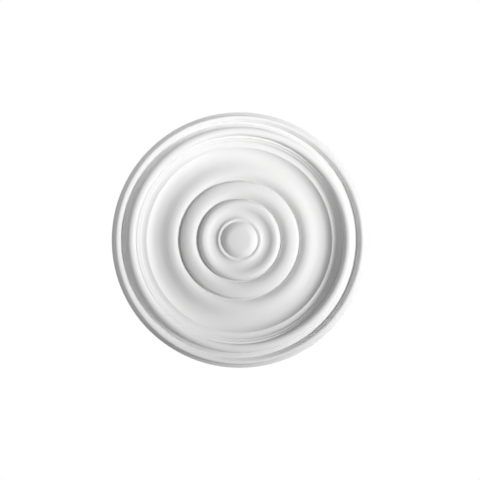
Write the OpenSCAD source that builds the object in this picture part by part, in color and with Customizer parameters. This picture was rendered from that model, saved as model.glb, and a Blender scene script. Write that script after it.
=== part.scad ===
// Round ceiling rose with plain run mouldings, cast in one piece.
// The flat back lies in the plane z = 0, against the ceiling, and the moulded face looks down.
// A "drop" is how far a line of the moulding lies below the ceiling.
// A "rise" comes down towards the room and a "fall" goes back towards the ceiling.

/* [Overall] */
// Diameter across the outer edge
rose_d = 400; // [390:1:500]
// Height of the straight outer edge
edge_h = 16.4; // [12:0.1:19]
// Thickness along the bottom of the dish
dish_t = 8; // [6:0.1:10]

/* [Centre button] */
// Diameter of the flat on the button
flat_d = 28; // [16:0.2:34]
// Drop of the flat
button_drop = 25.5; // [21:0.1:30]
// Width of the round from the flat down to the groove
button_round_w = 14.7; // [12.5:0.1:18]
// Drop of the groove round the button
groove_drop = 16.5; // [15:0.1:17.5]
// Width from the groove to the crest of the bead
bead_rise_w = 3.9; // [3.2:0.1:6]
// Drop of the bead's crest
bead_drop = 18.4; // [17.8:0.1:19.6]
// Width of the round outside that crest
bead_fall_w = 2.4; // [1.6:0.1:4]
// Height of that round
bead_fall_h = 1.3; // [0.4:0.1:1.6]

/* [Inner ring] */
// Width from the bead to the level line of the hollow
hollow_w = 5.3; // [4:0.1:7]
// Drop of that line
hollow_drop = 15.5; // [14:0.1:16.5]
// Width from the hollow's level line to the ring's crest
inner_rise_w = 16.2; // [13:0.1:20]
// Width of the hollow part of that rise
ogee_w = 8.9; // [5:0.1:12]
// Drop of the ring's crest
inner_drop = 20.1; // [18:0.1:23.5]
// Width of the round from the crest to the ring's sharp edge
inner_fall_w = 6.5; // [6:0.1:9]
// Height of that round
inner_fall_h = 5.8; // [4:0.1:5.9]
// Width of the steep wall under the edge
inner_wall_w = 1.9; // [0.8:0.1:3]
// Height of that wall
inner_wall_h = 5.2; // [3:0.1:6.5]

/* [Middle ring] */
// Width from the foot of the inner ring's wall to this ring's crest
middle_rise_w = 13.5; // [11:0.1:17]
// Drop of the ring's crest
middle_drop = 17.8; // [16:0.1:21]
// Width of the round from the crest to the ring's sharp edge
middle_fall_w = 12; // [9:0.1:15]
// Height of that round
middle_fall_h = 3.3; // [2:0.1:5]
// Width of the steep wall under the edge
middle_wall_w = 3.7; // [1:0.1:5]
// Drop of the groove at the foot of that wall
middle_groove_drop = 6.6; // [5:0.1:9]

/* [Dish] */
// Width from the groove to the crest of the low swell where the dish begins
swell_rise_w = 11.9; // [9:0.1:15]
// Drop of the swell
swell_drop = 14; // [12:0.1:16.5]
// How far the swell's round reaches each side of where it starts to fall
swell_round = 4; // [2:0.1:6]
// How far the dish's hollow reaches each side of where the fall ends
dish_round = 5.6; // [3:0.1:8]
// Width of the flat at the bottom of the dish
dish_flat_w = 1.3; // [0.4:0.1:5]
// Width of the cove that closes the dish
cove_w = 13.2; // [10:0.1:16]
// Drop of the flat fillet outside the cove
fillet_drop = 14.2; // [12.5:0.1:16]
// Width of that fillet
fillet_w = 3.3; // [1:0.1:5]

/* [Stepped rise] */
// Width of the hollow that starts the rise
hollow_rise_w = 6.1; // [4:0.1:7]
// Height of that hollow
hollow_rise_h = 1.7; // [1:0.1:3]
// Width of the first riser
riser_w = 0.4; // [0.3:0.1:1.5]
// Height of that riser
riser_h = 1.4; // [1:0.1:3]
// Width of the tread above it
tread_w = 4; // [2.5:0.1:5.5]
// Height that the tread gains
tread_h = 2.1; // [1:0.1:3]
// Width of the second riser
second_riser_w = 0.5; // [0.3:0.1:1.5]
// Height of that riser
second_riser_h = 1.7; // [0.8:0.1:2.5]
// Width of the level tread above it
second_tread_w = 2.8; // [1.5:0.1:4]
// Width of the last riser, below the main roll
last_riser_w = 2.3; // [1:0.1:4]

/* [Outer rolls] */
// Width of the round up to the main roll's crest
roll_rise_w = 4.9; // [3.2:0.1:6]
// Height of that round
roll_rise_h = 2.2; // [1:0.1:3]
// Drop of the main roll's crest
roll_drop = 29.1; // [26:0.1:35]
// Width of the round down from that crest
roll_fall_w = 7.2; // [6.1:0.1:9]
// Height of that round
roll_fall_h = 5.9; // [3:0.1:6]
// Width of the slope from there down into the quirk between the rolls
quirk_in_w = 7.5; // [5:0.1:10]
// Drop of the bottom of the quirk
quirk_drop = 18.1; // [15.5:0.1:20]
// Width of the steep outer side of the quirk
quirk_out_w = 1.6; // [0.8:0.1:4]
// Width of the easier slope above it
shoulder_w = 1.1; // [0.5:0.1:3]
// Height that this slope gains
shoulder_h = 0.6; // [0.2:0.1:2]
// Width of the round up to the outer roll's crest
lip_rise_w = 4.6; // [4.1:0.1:6]
// Height of that round
lip_rise_h = 3.5; // [1.5:0.1:4]
// Drop of the outer roll's crest
lip_drop = 26.5; // [25:0.1:29]
// Width of the round down from that crest
lip_fall_w = 3; // [2.9:0.1:5]
// Height of that round
lip_fall_h = 2.8; // [1.5:0.1:2.9]
// Width of the steep wall under that round
lip_wall_w = 0.4; // [0.2:0.1:1.5]
// Height of that wall
lip_wall_h = 2; // [0.5:0.1:3]
// Width of the bevel from there to the outer edge
bevel_w = 5; // [3:0.1:7]

/* [Back] */
// Width of the flat glue rim
glue_rim_w = 26; // [16:1:40]
// Diameter of the flat pad at the centre
pad_d = 110; // [70:1:160]
// Depth of the shallow recess between rim and pad
recess_depth = 2.5; // [1:0.5:3.5]
// Width of the sloping sides of the recess
recess_slope_w = 5; // [3:0.5:8]

/* [Hidden] */

// Widest turn of a curve between two of its points, in degrees
curve_step = 5;

// The rings are measured out from the centre
flat_r = flat_d / 2;
groove_r = flat_r + button_round_w;
bead_r = groove_r + bead_rise_w;
bead_edge_r = bead_r + bead_fall_w;
hollow_r = bead_edge_r + hollow_w;
ogee_r = hollow_r + ogee_w;
inner_r = hollow_r + inner_rise_w;
inner_edge_r = inner_r + inner_fall_w;
inner_foot_r = inner_edge_r + inner_wall_w;
middle_r = inner_foot_r + middle_rise_w;
middle_edge_r = middle_r + middle_fall_w;
middle_foot_r = middle_edge_r + middle_wall_w;
swell_r = middle_foot_r + swell_rise_w;

// The outer mouldings are measured in from the edge
rose_r = rose_d / 2;
bevel_r = rose_r - bevel_w;
lip_wall_r = bevel_r - lip_wall_w;
lip_r = lip_wall_r - lip_fall_w;
lip_edge_r = lip_r - lip_rise_w;
shoulder_r = lip_edge_r - shoulder_w;
quirk_r = shoulder_r - quirk_out_w;
roll_edge_r = quirk_r - quirk_in_w;
roll_r = roll_edge_r - roll_fall_w;
last_riser_r = roll_r - roll_rise_w;
second_tread_r = last_riser_r - last_riser_w;
second_riser_r = second_tread_r - second_tread_w;
tread_r = second_riser_r - second_riser_w;
riser_r = tread_r - tread_w;
hollow_rise_r = riser_r - riser_w;
fillet_r = hollow_rise_r - hollow_rise_w;
cove_r = fillet_r - fillet_w;
dish_r = cove_r - cove_w;

// The straight fall of the dish takes up what is left between the two
fall_start_r = swell_r + swell_round;
fall_end_r = dish_r - dish_flat_w - dish_round;
fall = atan2(swell_drop - dish_t, fall_end_r - fall_start_r);

// The edges keep their heights from the crests beside them
bead_edge_drop = bead_drop - bead_fall_h;
inner_edge_drop = inner_drop - inner_fall_h;
inner_foot_drop = inner_edge_drop - inner_wall_h;
middle_edge_drop = middle_drop - middle_fall_h;
hollow_rise_drop = fillet_drop + hollow_rise_h;
riser_drop = hollow_rise_drop + riser_h;
tread_drop = riser_drop + tread_h;
second_tread_drop = tread_drop + second_riser_h;
last_riser_drop = roll_drop - roll_rise_h;
roll_edge_drop = roll_drop - roll_fall_h;
lip_edge_drop = lip_drop - lip_rise_h;
shoulder_drop = lip_edge_drop - shoulder_h;
lip_wall_drop = lip_drop - lip_fall_h;
bevel_drop = lip_wall_drop - lip_wall_h;

// The hollow and the round of the inner ring meet smoothly on the line between their ends
ogee_drop = hollow_drop + (inner_drop - hollow_drop) * ogee_w / inner_rise_w;

// How a stretch of the profile runs: straight, or curved from or to the level
STRAIGHT = 0;
FROM_LEVEL = 1;
TO_LEVEL = -1;

// The stretches of the profile, from the centre outward: [radius at its end, drop at its end, run]
face = [
    [flat_r, button_drop, STRAIGHT],
    [groove_r, groove_drop, FROM_LEVEL],
    [bead_r, bead_drop, TO_LEVEL],
    [bead_edge_r, bead_edge_drop, FROM_LEVEL],
    [hollow_r, hollow_drop, TO_LEVEL],
    [ogee_r, ogee_drop, FROM_LEVEL],
    [inner_r, inner_drop, TO_LEVEL],
    [inner_edge_r, inner_edge_drop, FROM_LEVEL],
    [inner_foot_r, inner_foot_drop, STRAIGHT],
    [middle_r, middle_drop, TO_LEVEL],
    [middle_edge_r, middle_edge_drop, FROM_LEVEL],
    [middle_foot_r, middle_groove_drop, STRAIGHT],
    [swell_r, swell_drop, TO_LEVEL],
    [fall_start_r + swell_round * cos(fall), swell_drop - swell_round * sin(fall), FROM_LEVEL],
    [fall_end_r - dish_round * cos(fall), dish_t + dish_round * sin(fall), STRAIGHT],
    [fall_end_r + dish_round, dish_t, TO_LEVEL],
    [dish_r, dish_t, STRAIGHT],
    [cove_r, fillet_drop, FROM_LEVEL],
    [fillet_r, fillet_drop, STRAIGHT],
    [hollow_rise_r, hollow_rise_drop, FROM_LEVEL],
    [riser_r, riser_drop, STRAIGHT],
    [tread_r, tread_drop, STRAIGHT],
    [second_riser_r, second_tread_drop, STRAIGHT],
    [second_tread_r, second_tread_drop, STRAIGHT],
    [last_riser_r, last_riser_drop, STRAIGHT],
    [roll_r, roll_drop, TO_LEVEL],
    [roll_edge_r, roll_edge_drop, FROM_LEVEL],
    [quirk_r, quirk_drop, STRAIGHT],
    [shoulder_r, shoulder_drop, STRAIGHT],
    [lip_edge_r, lip_edge_drop, STRAIGHT],
    [lip_r, lip_drop, TO_LEVEL],
    [lip_wall_r, lip_wall_drop, FROM_LEVEL],
    [bevel_r, bevel_drop, STRAIGHT],
    [rose_r, edge_h, STRAIGHT],
];

rim_r = rose_r - glue_rim_w;
pad_r = pad_d / 2;
back = [
    [rose_r, 0],
    [rim_r, 0],
    [rim_r - recess_slope_w, recess_depth],
    [pad_r + recess_slope_w, recess_depth],
    [pad_r, 0],
    [0, 0],
];

// Point p turned about centre c
function turned(p, c, angle) =
    let (v = p - c)
    c + [v.x * cos(angle) - v.y * sin(angle), v.x * sin(angle) + v.y * cos(angle)];

// Points after a, up to b, along a straight line or along the arc that is level at one end
function stretch(a, b, run) =
    let (d = b - a)
    run == STRAIGHT || d.y == 0 ? [b] :
    let (turn = 2 * run * atan2(d.y, d.x))
    let (n = ceil(abs(turn) / curve_step))
    let (c = (a + b) / 2 + [-d.y, d.x] / (2 * tan(turn / 2)))
    [for (i = [1:n]) turned(a, c, turn * i / n)];

function at(row) = [row[0], -row[1]];

function face_points() = [
    for (i = [0:len(face) - 1])
    let (from = i == 0 ? [0, -button_drop] : at(face[i - 1]))
    each stretch(from, at(face[i]), face[i][2])
];

module ceiling_rose() {
    color("white")
    rotate_extrude($fn = 180)
    polygon(concat([[0, -button_drop]], face_points(), [for (p = back) at(p)]));
}

ceiling_rose();
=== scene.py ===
"""A round ceiling rose with plain run mouldings, cast in rigid foam and primed white.

It is placed as it is used: the flat back lies in the ceiling plane, z = 0, and the moulded
face looks down. The casting is turned from the outline of its CAD node, with its arrises
eased as they come out of a mould, and it has a primed face and a bare foam back.
"""
import math

import bmesh
import bpy
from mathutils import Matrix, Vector


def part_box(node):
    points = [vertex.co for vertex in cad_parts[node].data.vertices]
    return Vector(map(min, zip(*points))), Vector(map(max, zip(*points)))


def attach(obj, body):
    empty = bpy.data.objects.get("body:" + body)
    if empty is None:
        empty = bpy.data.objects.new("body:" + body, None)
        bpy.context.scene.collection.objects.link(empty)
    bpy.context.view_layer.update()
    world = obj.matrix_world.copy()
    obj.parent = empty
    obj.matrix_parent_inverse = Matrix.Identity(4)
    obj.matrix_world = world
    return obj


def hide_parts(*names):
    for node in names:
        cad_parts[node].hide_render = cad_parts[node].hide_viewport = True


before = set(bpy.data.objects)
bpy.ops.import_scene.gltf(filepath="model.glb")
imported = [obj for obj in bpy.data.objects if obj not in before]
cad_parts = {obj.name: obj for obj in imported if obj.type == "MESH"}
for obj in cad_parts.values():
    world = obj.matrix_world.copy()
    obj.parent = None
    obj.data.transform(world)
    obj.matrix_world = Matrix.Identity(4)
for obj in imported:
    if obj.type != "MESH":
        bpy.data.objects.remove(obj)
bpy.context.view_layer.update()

MM = 0.001
NODE = "ceiling_rose"
LOW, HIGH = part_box(NODE)
PROJECTION = HIGH.z - LOW.z

# ---- Sizes of the casting -------------------------------------------------------------------

SEGMENTS = 228                      # steps round the rose
SAME_LINE = 0.02 * MM               # points closer than this lie on one turned line
NEAR_LINES = 8                      # how many of the last lines a point is compared with
BACK_DEPTH = 4 * MM                 # what lies nearer the ceiling than this is the back
CORNER = math.radians(12)           # a sharper turn than this is an arris
FACE_EASE = 0.4 * MM                # how far an arris is cut back on the moulded face
BACK_EASE = 0.9 * MM                # and on the back, where the foam skin rounds it more
EASE_SHARE = 0.3                    # the most of a neighbouring face that an arris takes
EASE_STEPS = 4                      # steps across an eased arris
HOLD = 1.5                          # how much farther from the arris a holding point lies
LONGEST_BAND = 2.4 * MM             # no turned band is wider than this
PRIMED, BARE = 0, 1                 # the order of the two finishes on the mesh


# ---- New objects ----------------------------------------------------------------------------

def add_object(name, data):
    """A new object in the scene."""
    item = bpy.data.objects.new(name, data)
    bpy.context.scene.collection.objects.link(item)
    return item


def add_mesh(name, form, finishes):
    """A new mesh object of that form, with its finishes in order."""
    mesh = bpy.data.meshes.new(name)
    form.to_mesh(mesh)
    form.free()
    for finish in finishes:
        mesh.materials.append(finish)
    return add_object(name, mesh)


# ---- The casting ----------------------------------------------------------------------------

def turned_lines(node):
    """The distinct (radius, height) lines of a turned CAD node, in order of radius."""
    corners = sorted((math.hypot(v.co.x, v.co.y), v.co.z) for v in node.data.vertices)
    lines = []
    for radius, height in corners:
        close = [line for line in lines[-NEAR_LINES:] if radius - line.x < SAME_LINE]
        if all(abs(height - line.y) > SAME_LINE for line in close):
            lines.append(Vector((radius, height)))
    return lines


def eased(points, ease):
    """The same run of points with each arris rounded off, and a holding point on each side
    of it that keeps the faces next to it flat."""
    out = [points[0]]
    for before, here, after in zip(points, points[1:], points[2:]):
        if (here - before).angle(after - here) < CORNER:
            out.append(here)
            continue
        back, ahead = (min(EASE_SHARE, ease / (near - here).length) for near in (before, after))
        start, end = here.lerp(before, back), here.lerp(after, ahead)
        steps = [step / EASE_STEPS for step in range(EASE_STEPS + 1)]
        out.append(here.lerp(before, back * HOLD))
        out += [start.lerp(here, t).lerp(here.lerp(end, t), t) for t in steps]
        out.append(here.lerp(after, ahead * HOLD))
    return out + [points[-1]]


def banded(points):
    """The same run of points with its wide bands cut into narrow ones."""
    out = [points[0]]
    for here, after in zip(points, points[1:]):
        cuts = math.ceil((after - here).length / LONGEST_BAND)
        out += [here.lerp(after, cut / cuts) for cut in range(1, cuts + 1)]
    return out


def half_section(node):
    """Outline points from the middle of the face, over the edge, to the middle of the back,
    and how many of them belong to the primed face and edge."""
    lines = turned_lines(node)
    face = [line for line in lines if line.y < -BACK_DEPTH]
    back = [line for line in reversed(lines) if line.y >= -BACK_DEPTH]
    face = banded(eased(face + back[:2], FACE_EASE)[:-1])
    back = banded(eased([face[-1]] + back[1:], BACK_EASE))[1:]
    return face + back, len(face)


def turned(name, points, primed, finishes):
    """A closed mesh turned about the z axis. The bands as far as the first so many points are
    primed, and the rest are bare."""
    form = bmesh.new()
    turns = [math.tau * step / SEGMENTS for step in range(SEGMENTS)]
    rings = [
        [form.verts.new((point.x * math.cos(a), point.x * math.sin(a), point.y)) for a in turns]
        for point in points[1:-1]
    ]
    # The first ring is point 1, so the band between the first two rings ends at point 2.
    for end, (inner, outer) in enumerate(zip(rings, rings[1:]), start=2):
        for step in range(SEGMENTS):
            band = form.faces.new((inner[step - 1], inner[step], outer[step], outer[step - 1]))
            band.material_index = PRIMED if end < primed else BARE
    for point, ring, finish in ((points[0], rings[0], PRIMED), (points[-1], rings[-1], BARE)):
        middle = form.verts.new((0, 0, point.y))
        for step in range(SEGMENTS):
            form.faces.new((middle, ring[step - 1], ring[step])).material_index = finish
    bmesh.ops.recalc_face_normals(form, faces=form.faces)
    for band in form.faces:
        band.smooth = True
    return add_mesh(name, form, finishes)


# ---- Finishes -------------------------------------------------------------------------------

PRIMER_TONES = (0.79, 0.79, 0.788, 1), (0.815, 0.815, 0.813, 1)
FOAM_TONES = (0.74, 0.715, 0.65, 1), (0.80, 0.785, 0.73, 1)
# painted shade: the darker colour laid into the blow holes in place of the shade inside them
HOLE_SHADE_TONE = (0.52, 0.48, 0.40, 1)
CLOUD_SIZE = 60 * MM                # how wide the slight clouding of the primer is
PEEL_SIZE = 1.1 * MM                # the width of its orange-peel grain
DUST_SIZE = 0.25 * MM               # and of the finest overspray
PEEL_HEIGHT = 0.03 * MM             # how high both stand
MOTTLE_SIZE = 28 * MM               # how wide the mottling of the foam skin is
GRAIN_SIZE = 0.8 * MM               # and its grain
SKIN_HEIGHT = 0.35 * MM             # how high the skin ripples
HOLE_SPACING = 7 * MM               # how far apart the blow holes lie
HOLE_PATCH = 18 * MM                # how wide the patches are in which they show
HOLE_DEPTH = 0.4 * MM               # how deep they are
HOLE_SHADE_STRENGTH = 0.6                 # how far a hole is darkened towards that painted shade
HOLE_EDGE = (0.05, 0.16)            # shares of the spacing over which a hole runs out
PATCH_EDGE = (0.45, 0.6)            # levels of noise over which a patch of holes comes in
BLOTCH_EDGE = (0.3, 0.7)            # and over which one tone passes into the other
PRIMER_ROUGHNESS = 0.55             # at the least; the grain adds a little
FOAM_ROUGHNESS = 0.62               # at the least; the mottling adds a little


class Level:
    """A number that a node gives. Arithmetic on it adds Math nodes."""

    def __init__(self, nodes, socket):
        self.nodes = nodes
        self.socket = socket

    def calculate(self, operation, *values):
        """The result of a Math node."""
        return self.nodes.level("Math", {"operation": operation}, dict(enumerate(values)))

    def __add__(self, other):
        return self.calculate("ADD", self, other)

    def __rsub__(self, other):
        return self.calculate("SUBTRACT", other, self)

    def __mul__(self, other):
        return self.calculate("MULTIPLY", self, other)

    __radd__ = __add__

    def ramp(self, low, high):
        """0 below low, 1 above high, and smooth between."""
        inputs = {"Value": self, "From Min": low, "From Max": high}
        return self.nodes.level("MapRange", {"interpolation_type": "SMOOTHSTEP"}, inputs)


class Nodes:
    """Adds nodes to one node tree."""

    def __init__(self, tree):
        self.tree = tree

    def feed(self, socket, value):
        """Links a Level or a node's output to a socket, or sets a plain value there."""
        if isinstance(value, Level):
            value = value.socket
        if isinstance(value, bpy.types.NodeSocket):
            self.tree.links.new(value, socket)
        else:
            socket.default_value = value

    def add(self, kind, settings=None, inputs=None):
        """One node: its settings come first, then the values or links of its sockets."""
        node = self.tree.nodes.new("ShaderNode" + kind)
        for name, value in (settings or {}).items():
            setattr(node, name, value)
        for name, value in (inputs or {}).items():
            self.feed(node.inputs[name], value)
        return node

    def level(self, kind, settings=None, inputs=None, output=0):
        """The number given by a new node."""
        return Level(self, self.add(kind, settings, inputs).outputs[output])

    def place(self):
        """Where a point lies on the object, in metres."""
        return self.add("TexCoord").outputs["Object"]

    def noise(self, size, detail, roughness=0.5):
        """Noise from 0 to 1 whose blotches are about size metres across."""
        inputs = {"Vector": self.place(), "Scale": 1 / size, "Detail": detail, "Roughness": roughness}
        return self.level("TexNoise", inputs=inputs)

    def blend(self, factor, first, second):
        """A colour between two others."""
        return self.add("Mix", {"data_type": "RGBA"}, {0: factor, 6: first, 7: second}).outputs[2]

    def bump(self, height, distance, under=None):
        """Relief of that many metres, over the relief under it."""
        inputs = {"Height": height, "Distance": distance}
        if under is not None:
            inputs["Normal"] = under
        return self.add("Bump", inputs=inputs).outputs["Normal"]

    def mix(self, factor, first, second):
        """Two shaders mixed."""
        return self.add("MixShader", inputs={0: factor, 1: first, 2: second}).outputs[0]


def new_finish(name, sheen):
    """A new material, its nodes and its surface shader; sheen is how strongly it reflects."""
    material = bpy.data.materials.new(name)
    material.use_nodes = True
    surface = material.node_tree.nodes["Principled BSDF"]
    surface.inputs["Specular IOR Level"].default_value = sheen
    return material, Nodes(material.node_tree), surface


def primed_finish():
    """Matt white factory primer: sprayed on, with a fine orange-peel grain."""
    material, nodes, surface = new_finish("white_primer", sheen=0.3)
    cloud = nodes.noise(CLOUD_SIZE, detail=3)
    peel = nodes.noise(PEEL_SIZE, detail=2)
    dust = nodes.noise(DUST_SIZE, detail=1)
    tone = (cloud * 0.7 + peel * 0.3).ramp(*BLOTCH_EDGE)
    nodes.feed(surface.inputs["Base Color"], nodes.blend(tone, *PRIMER_TONES))
    nodes.feed(surface.inputs["Roughness"], PRIMER_ROUGHNESS + peel * 0.12)
    nodes.feed(surface.inputs["Normal"], nodes.bump(peel * 0.8 + dust * 0.2, PEEL_HEIGHT))
    return material


def bare_finish():
    """The bare back: cream foam skin with soft mottling, fine grain and small blow holes, whose pits
    are a bump and whose darkening is painted shade.
    """
    material, nodes, surface = new_finish("bare_foam", sheen=0.25)
    mottle = nodes.noise(MOTTLE_SIZE, detail=5, roughness=0.6)
    grain = nodes.noise(GRAIN_SIZE, detail=3)
    patch = nodes.noise(HOLE_PATCH, detail=1)
    cell = nodes.level("TexVoronoi", inputs={"Vector": nodes.place(), "Scale": 1 / HOLE_SPACING})
    holes = (1 - cell.ramp(*HOLE_EDGE)) * patch.ramp(*PATCH_EDGE)
    skin = nodes.blend(mottle.ramp(*BLOTCH_EDGE), *FOAM_TONES)
    waves = nodes.bump(mottle + grain * 0.15, SKIN_HEIGHT)
    # The blow holes are coloured darker with painted shade; only their pits are real relief, given by
    # the bump below.
    nodes.feed(surface.inputs["Base Color"], nodes.blend(holes * HOLE_SHADE_STRENGTH, skin, HOLE_SHADE_TONE))
    nodes.feed(surface.inputs["Roughness"], FOAM_ROUGHNESS + mottle * 0.2)
    nodes.feed(surface.inputs["Normal"], nodes.bump(1 - holes, HOLE_DEPTH, under=waves))
    return material


# ---- Camera, light and floor ----------------------------------------------------------------

VIEW_WIDTH = 751.6 * MM             # how much of the ceiling the view takes in
FILM_WIDTH = 36.0                   # in millimetres
LENS = 150.0                        # focal length, in millimetres
VIEW_TILT = math.radians(2.0)       # how far the line of sight leans from straight up
VIEW_OFFSET = Vector((0.8 * MM, -0.25 * MM))    # how far it passes from the middle of the rose
CAMERA_DISTANCE = VIEW_WIDTH * LENS / FILM_WIDTH
FARTHEST_SEEN = 100.0               # beyond the far edge of the floor
FLOOR_BELOW_CAMERA = 0.4            # so that it lies behind the camera, out of its sight
FLOOR_DEPTH = CAMERA_DISTANCE + FLOOR_BELOW_CAMERA
FLOOR_SIZE = 70.0                   # so wide that its edge lies close to the horizon
FLOOR_SIDES = 64
FLOOR_PAINT = (0.85, 0.85, 0.85, 1)
WHITE = (1, 1, 1, 1)
FLOOR_WHITENESS = 0.94              # share of plain white in how the floor looks
LIGHT_FROM_BELOW = 0.28             # strength of the soft light from the floor's side
LIGHT_FROM_ABOVE = 0.56             # and from the ceiling's side, halfway across
LIGHT_LEAN = 0.5                    # how much weaker that is along LEAN_WAY, and stronger against
LEAN_WAY = Vector((0.75, 0.66))     # the x and y of that way
HORIZON_BLUR = 0.15                 # how gradually the one side passes into the other
KEY_AROUND = -7.5                   # where the key light stands, in degrees round the view
KEY_OUT = 36.5                      # and in degrees out from the plane of the face
KEY_DISTANCE = 3.0                  # from the middle of the back
KEY_WIDTH = 0.75
KEY_WATTS = 79
FRONT_PLACE = Vector((0, -0.1, -2.2))
FRONT_TARGET = Vector((0, -0.41, 0))    # past the rose, so that the light fades across it
FRONT_CONE = math.radians(22)
FRONT_SOFTNESS = 0.15
FRONT_WATTS = 101
BACK_LAMPS = {                      # place, width and watts; low and high as seen from below
    "back_low": (Vector((-1.0, 0.8, 1.7)), 0.5, 22),
    "back_high": (Vector((-0.5, -0.8, 1.7)), 0.7, 10),
}


def below_face(around, out, distance):
    """A place under the moulded face, from its angles round the view and out from the face."""
    around, out = math.radians(around), math.radians(out)
    flat = math.cos(out) * distance
    return Vector((flat * math.cos(around), -flat * math.sin(around), -math.sin(out) * distance))


def aim(name, data, place, target):
    """Adds an object at place that looks at target."""
    item = add_object(name, data)
    item.location = place
    item.rotation_euler = (target - place).to_track_quat("-Z", "Y").to_euler()


def soft_lamp(name, place, width, watts):
    """Adds a round soft box that looks at the rose."""
    lamp = bpy.data.lights.new(name, "AREA")
    lamp.shape = "DISK"
    lamp.size = width
    lamp.energy = watts
    aim(name, lamp, place, Vector((0, 0, 0)))


def set_camera():
    """A long lens under the rose, looking almost straight up."""
    camera = bpy.data.cameras.new("camera")
    camera.lens = LENS
    camera.sensor_width = FILM_WIDTH
    camera.clip_end = FARTHEST_SEEN
    item = add_object("camera", camera)
    reach = CAMERA_DISTANCE + PROJECTION / 2
    aside, down = math.sin(VIEW_TILT) * reach, math.cos(VIEW_TILT) * reach
    item.location = (VIEW_OFFSET.x, aside + VIEW_OFFSET.y, -down)
    item.rotation_euler = (math.pi + VIEW_TILT, 0, 0)
    bpy.context.scene.camera = item


def set_lamps():
    """A key light from one side, a soft-edged front light, and two lamps over the back."""
    soft_lamp("key", below_face(KEY_AROUND, KEY_OUT, KEY_DISTANCE), KEY_WIDTH, KEY_WATTS)
    front = bpy.data.lights.new("front", "SPOT")
    front.energy = FRONT_WATTS
    front.spot_size = FRONT_CONE
    front.spot_blend = 1.0
    front.shadow_soft_size = FRONT_SOFTNESS
    aim("front", front, FRONT_PLACE, FRONT_TARGET)
    for name, (place, width, watts) in BACK_LAMPS.items():
        soft_lamp(name, place, width, watts)


def set_world():
    """Soft light from all round, on a white ground. The ceiling's side is stronger than the
    floor's, and stronger against LEAN_WAY than along it."""
    world = bpy.data.worlds.new("studio")
    bpy.context.scene.world = world
    world.use_nodes = True
    world.node_tree.nodes.clear()
    nodes = Nodes(world.node_tree)
    strong, weak = LIGHT_FROM_ABOVE + LIGHT_LEAN, LIGHT_FROM_ABOVE - LIGHT_LEAN
    below, above_strong, above_weak, ground = (
        nodes.add("Background", inputs={"Color": WHITE, "Strength": strength}).outputs[0]
        for strength in (LIGHT_FROM_BELOW, strong, weak, 1.0)
    )
    direction = nodes.add("SeparateXYZ", inputs={0: nodes.add("TexCoord").outputs["Generated"]})
    x, y, z = (Level(nodes, direction.outputs[axis]) for axis in "XYZ")
    across = (x * LEAN_WAY.x + y * LEAN_WAY.y).ramp(-1, 1)
    upward = z.ramp(-HORIZON_BLUR, HORIZON_BLUR)
    soft = nodes.mix(upward, below, nodes.mix(across, above_strong, above_weak))
    seen = nodes.level("LightPath", output="Is Camera Ray")
    nodes.add("OutputWorld", inputs={"Surface": nodes.mix(seen, soft, ground)})


def set_floor():
    """A plain pale floor under the camera. It shows nearly white and keeps shadows, and the
    soft light from below passes through it."""
    material = bpy.data.materials.new("pale_floor")
    material.use_nodes = True
    material.node_tree.nodes.clear()
    nodes = Nodes(material.node_tree)
    paint = nodes.add("BsdfDiffuse", inputs={"Color": FLOOR_PAINT}).outputs[0]
    ground = nodes.add("Emission", inputs={"Color": WHITE, "Strength": 1.0}).outputs[0]
    clear = nodes.add("BsdfTransparent").outputs[0]
    seen = nodes.level("LightPath", output="Is Camera Ray")
    look = nodes.mix(FLOOR_WHITENESS, paint, ground)
    nodes.add("OutputMaterial", inputs={"Surface": nodes.mix(seen, clear, look)})
    form = bmesh.new()
    bmesh.ops.create_circle(form, cap_ends=True, segments=FLOOR_SIDES, radius=FLOOR_SIZE / 2)
    floor = add_mesh("floor", form, [material])
    floor.location.z = -FLOOR_DEPTH


# ---- Putting it together --------------------------------------------------------------------

set_camera()
set_lamps()
set_world()
set_floor()
bpy.context.scene.view_settings.view_transform = "Standard"

section, primed_points = half_section(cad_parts[NODE])
rose = turned("rose_casting", section, primed_points, [primed_finish(), bare_finish()])
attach(rose, "root")
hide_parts(NODE)
